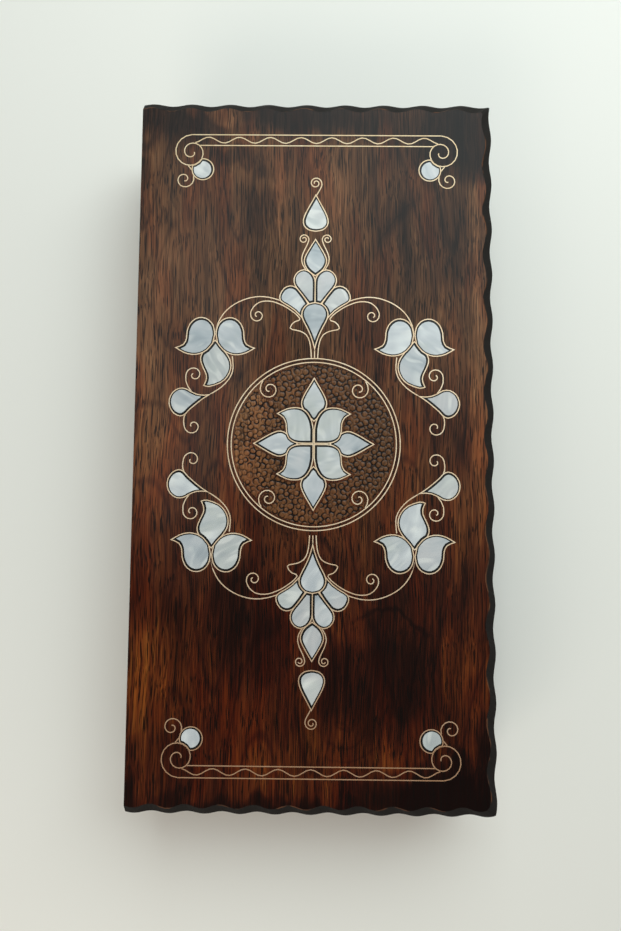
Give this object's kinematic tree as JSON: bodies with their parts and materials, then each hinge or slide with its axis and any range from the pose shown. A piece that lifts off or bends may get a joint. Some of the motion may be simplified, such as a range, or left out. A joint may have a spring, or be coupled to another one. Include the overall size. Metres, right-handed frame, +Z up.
{
  "type": "backgammon board",
  "caption": "Folding wooden backgammon case with scalloped bevelled covers, an inlaid medallion lid, two hinged trays with point fields, side hooks, checkers and dice.",
  "frame": {"origin": "on the underside of the closed case, midway between the hinge edge and the mean line of the scalloped front, and midway between the mean lines of the two scalloped ends", "axes": "+Z up out of the inlaid lid, +X from the hinge edge to the hooks at the front, +Y along the length to the far end, which is the top of the picture"},
  "size_m": [0.2566, 0.5018, 0.076],
  "materials": {
    "cover_walnut": "satin varnish over dark figured walnut",
    "rail_walnut": "satin varnish",
    "field_wood": "satin varnish",
    "light_wood": "satin varnish over maple",
    "dark_wood": "satin varnish over stained maple",
    "brass": "sawn flush with the wood and polished",
    "hinge_brass": "polished",
    "nacre": "polished pearl shell, pale blue and pink play of colour",
    "filler": "black setting mastic, rubbed flush",
    "light_checker": "turned and waxed maple",
    "dark_checker": "turned and waxed walnut",
    "bone": "polished, with black pips"
  },
  "bodies": {
    "base": {"base_cover": "cover_walnut", "base_hinge_rail": "rail_walnut", "base_front_rail": "rail_walnut", "base_far_rail": "rail_walnut", "base_near_rail": "rail_walnut", "base_field": "field_wood", "base_light_points": "light_wood", "base_dark_points": "dark_wood", "base_hinge_leaves": "hinge_brass", "base_hinge_screws": "hinge_brass", "hinge_pins": "hinge_brass", "hook_screws": "hinge_brass"},
    "lid": {"lid_cover": "cover_walnut", "lid_hinge_rail": "rail_walnut", "lid_front_rail": "rail_walnut", "lid_far_rail": "rail_walnut", "lid_near_rail": "rail_walnut", "lid_field": "field_wood", "lid_light_points": "light_wood", "lid_dark_points": "dark_wood", "lid_hinge_leaves": "hinge_brass", "lid_hinge_screws": "hinge_brass", "hook_studs": "hinge_brass", "medallion_rings": "brass", "medallion_scrolls": "brass", "rosette_wires": "brass", "spray_wires": "brass", "spray_scrolls": "brass", "arm_wires": "brass", "trefoil_wires": "brass", "side_wires": "brass", "border_wires": "brass", "corner_wires": "brass", "rosette_nacre": "nacre", "spray_nacre": "nacre", "trefoil_nacre": "nacre", "side_nacre": "nacre", "corner_nacre": "nacre", "rosette_filler": "filler", "spray_filler": "filler", "trefoil_filler": "filler", "side_filler": "filler", "corner_filler": "filler"},
    "far_hook": {"far_hook": "hinge_brass"},
    "near_hook": {"near_hook": "hinge_brass"},
    "light_checkers": {"light_checkers": "light_checker"},
    "dark_checkers": {"dark_checkers": "dark_checker"},
    "dice": {"dice": "bone"}
  },
  "joints": [
    {"name": "lid_hinge", "type": "hinge", "parent": "base", "child": "lid", "pos_m": [-0.12625, 0, 0.038], "axis": [0, -1, 0], "range_deg": [0, 180]},
    {"name": "far_hook_pivot", "type": "hinge", "parent": "base", "child": "far_hook", "pos_m": [0.1243, 0.14, 0.0315], "axis": [1, 0, 0], "range_deg": [0, 180]},
    {"name": "near_hook_pivot", "type": "hinge", "parent": "base", "child": "near_hook", "pos_m": [0.1243, -0.14, 0.0315], "axis": [-1, 0, 0], "range_deg": [0, 180]},
    {"name": "light_checkers_lift", "type": "slide", "parent": "base", "child": "light_checkers", "axis": [0, 0, 1], "range_m": [0, 0.036]},
    {"name": "dark_checkers_lift", "type": "slide", "parent": "base", "child": "dark_checkers", "axis": [0, 0, 1], "range_m": [0, 0.036]},
    {"name": "dice_lift", "type": "slide", "parent": "base", "child": "dice", "axis": [0, 0, 1], "range_m": [0, 0.03]}
  ]
}
